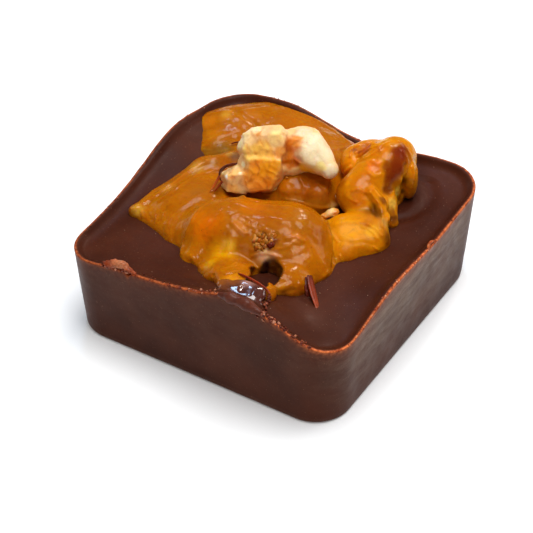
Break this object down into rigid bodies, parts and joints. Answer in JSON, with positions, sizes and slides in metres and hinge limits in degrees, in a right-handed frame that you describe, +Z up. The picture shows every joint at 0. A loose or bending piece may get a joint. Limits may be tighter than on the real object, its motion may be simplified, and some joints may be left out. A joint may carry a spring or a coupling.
{
  "type": "walnut toffee",
  "caption": "Square moulded dark chocolate with a sunken top, soft caramel toffee lying on it and pieces of walnut, one bare on top.",
  "frame": {"origin": "middle of the whole part's outline, on the flat base", "axes": "+Z up from the base through the sunken top; +X and +Y along the sides of the square; the front rim that the caramel runs over faces -Y"},
  "size_m": [0.0358, 0.0358, 0.0202],
  "materials": {
    "chocolate": null,
    "caramel": null,
    "bare_walnut": "bare walnut kernel with thin brown skin stains",
    "coated_walnut": "walnut kernel under a wet coat of caramel"
  },
  "bodies": {
    "root": {"chocolate_body": "chocolate", "caramel": "caramel", "walnut_top": "bare_walnut", "walnut_right": "coated_walnut", "walnut_low": "coated_walnut", "walnut_middle": "coated_walnut"}
  },
  "joints": []
}
